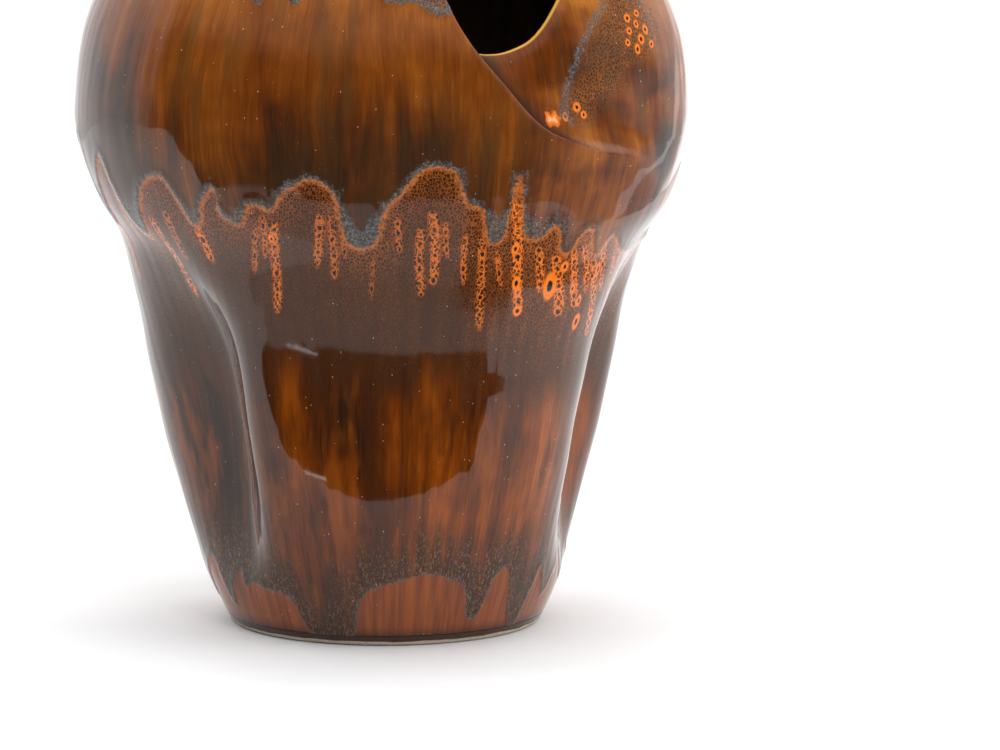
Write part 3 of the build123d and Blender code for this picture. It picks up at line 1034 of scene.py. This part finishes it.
def make_clay():
    n = Nodes(bpy.data.materials.new("bare_clay_foot"))
    where = n.object_place()
    z = n.parts(where)[2]
    grain = n.noise(where, 900, 4, 0.7)
    waver = n.noise(where, 60, 3, 0.5)
    clay = n.ramp(
        grain, (0.25, (0.36, 0.29, 0.21)), (0.55, (0.56, 0.48, 0.37)), (0.8, (0.7, 0.63, 0.52))
    )
    covered = (z * 1000 + waver * -1.6).between(1.2, 1.7)
    colour = n.mix(covered, clay, n.mix(waver, BLACK_BROWN, (0.06, 0.02, 0.008)))
    n.set("Base Color", colour)
    n.set("Roughness", covered.between(0, 1, 0.8, 0.07))
    n.bumps(grain, 0.25, 0.0004)
    return n.owner


GLAZE, LINER, CLAY = make_glaze(), make_liner(), make_clay()

left_turns = TURNS[TURNS >= SEAM_TURN - 1e-6]
right_turns = TURNS[TURNS <= SEAM_TURN + 1e-6]
left_leaf = make_leaf("left_leaf_glazed", left_radius, left_turns, True)
right_leaf = make_leaf("right_leaf_glazed", right_radius, right_turns, False)
make_ring_wall().build([GLAZE, LINER], "root", ["lower_wall"], "glaze")
left_leaf.build([GLAZE, LINER], "root", ["left_leaf"], "glaze")
right_leaf.build([GLAZE, LINER], "root", ["right_leaf"], "glaze")
make_slab().build([GLAZE, LINER], "root", ["base_slab"], "glaze")
make_foot().build([CLAY], "root", ["foot_ring"], "bare_clay")


# ---- Floor, light and camera ----
def sheet(name, outline, height, material, mirrored):
    """A flat sheet that shows either in mirror images alone, or everywhere but in them."""
    mesh = bpy.data.meshes.new(name)
    mesh.from_pydata([(x, y, height) for x, y in outline], [], [tuple(range(len(outline)))])
    mesh.materials.append(material)
    thing = add_object(name, mesh)
    thing.visible_glossy = mirrored
    thing.visible_camera = thing.visible_diffuse = thing.visible_shadow = not mirrored


def make_paper():
    n = Nodes(bpy.data.materials.new("floor_paper"))
    tone = n.noise(n.object_place(), 6, 3, 0.5)
    n.set("Base Color", n.ramp(tone, (0.3, (0.86, 0.86, 0.865)), (0.7, (0.9, 0.9, 0.9))))
    n.set("Roughness", 0.6)
    return n.owner


# The table as the glaze mirrors it: white up to its front edge, with nothing but dark beyond.
TABLE_EDGE = [
    (-2, -0.235), (0.2, -0.235), (0.33, -0.33), (0.40, -0.29), (0.45, -0.18), (0.5, -0.05),
    (0.5, 1.2), (-2, 1.2),
]
FLOOR = [(-4, -5), (4, -5), (4, 1.6), (-4, 1.6)]
FLOOR_HEIGHT = -0.0004
paper = make_paper()
sheet("table_mirrored", TABLE_EDGE, 0, paper, True)
sheet("floor", FLOOR, FLOOR_HEIGHT, paper, False)


def area(name, place, target, size, power):
    light = bpy.data.lights.new(name, "AREA")
    light.shape = "RECTANGLE"
    light.size, light.size_y = size
    light.energy = power
    lamp = add_object(name, light)
    lamp.location = place
    lamp.rotation_euler = (Vector(target) - Vector(place)).to_track_quat("-Z", "Y").to_euler()
    lamp.visible_glossy = False


area("overhead", (0, 0.3, 2.6), (0, 0.3, 0), (3.6, 3.6), 92)
area("front_fill", (1.1, -2.4, 1.5), (0, 0, 0.25), (1.4, 1.2), 17)
area("right_fill", (2, -0.6, 1), (0, 0, 0.25), (1.4, 1.6), 12)


WHITE = (1, 1, 1, 1)


def make_world():
    """White to the camera; to the glaze, a dark room in front with white walls round the back."""
    n = Nodes(bpy.data.worlds.new("studio"))
    bpy.context.scene.world = n.owner
    n.tree.nodes.clear()
    # Angles are in degrees: azimuth 0 to the front and 90 to the right, elevation 0 level.
    x, y, z = n.parts(n.out("ShaderNodeTexCoord", output="Generated"))
    azimuth = n.bearing(x, y)
    elevation = n.math("ARCSINE", z) * math.degrees(1)
    # The floor fills the low directions, a little higher on the left.
    below_floor = elevation + azimuth.between(-57, -25, -7.5, 0)
    floor_light = below_floor.between(-39.5, -37, 0.8, 0)
    # Ceiling, the lower and upper walls on the right, and the walls behind.
    ceiling = elevation.between(16, 44, 0, 0.62)
    low_right = azimuth.between(45, 100, 0, 0.9) * elevation.between(-8, 8, 1, 0)
    low_right = low_right * (azimuth * 0.8 - elevation).between(88, 100, 1, 0.7)
    high_right = azimuth.between(46, 66, 0, 0.3) * elevation.between(0, 8)
    right = azimuth.between(106, 128) * elevation.between(-26, -18, 0.5, 1)
    left_wall = (azimuth * -1).between(88, 112)
    # A bright slanting edge on the right, a sliver low in front, and a strip light behind.
    band = n.math("ABSOLUTE", elevation - (azimuth - 147)).between(2, 3.4, 0.9, 0)
    band = band * azimuth.between(98, 110) * azimuth.between(138, 150, 1, 0)
    bright = 0.02
    for part in (floor_light, ceiling, low_right, high_right, right, left_wall):
        bright = n.most(part, bright)
    sliver = (
        n.math("ABSOLUTE", elevation + 33.2).between(0.5, 1, 4, 0)
        * n.math("ABSOLUTE", azimuth + 41).between(6, 8, 1, 0)
    )
    strip_light = azimuth.between(148, 156, 0, 1.8) * elevation.between(-36, -28)
    bright = bright + band + strip_light * elevation.between(0, 10, 1, 0) + sliver
    around = n.out("ShaderNodeBackground", WHITE, bright)
    seen = n.out("ShaderNodeBackground", WHITE, 1.05)
    path = n.out("ShaderNodeLightPath", output="Is Camera Ray")
    n.add("ShaderNodeOutputWorld", n.out("ShaderNodeMixShader", path, around, seen))


make_world()

CAMERA_ELEVATION = math.radians(10)
CAMERA_DISTANCE = 8
FRAME_WIDTH = 0.57
FRAME_TARGET = (0.0655, 0, 0.1398)
SENSOR = 36
back = Vector((0, -math.cos(CAMERA_ELEVATION), math.sin(CAMERA_ELEVATION)))
lens = bpy.data.cameras.new("camera")
lens.sensor_width = SENSOR
lens.lens = SENSOR * CAMERA_DISTANCE / FRAME_WIDTH
lens.clip_end = 50
camera = add_object("camera", lens)
camera.location = Vector(FRAME_TARGET) + back * CAMERA_DISTANCE
camera.rotation_euler = back.to_track_quat("Z", "Y").to_euler()
bpy.context.scene.camera = camera
bpy.context.scene.view_settings.view_transform = "Standard"
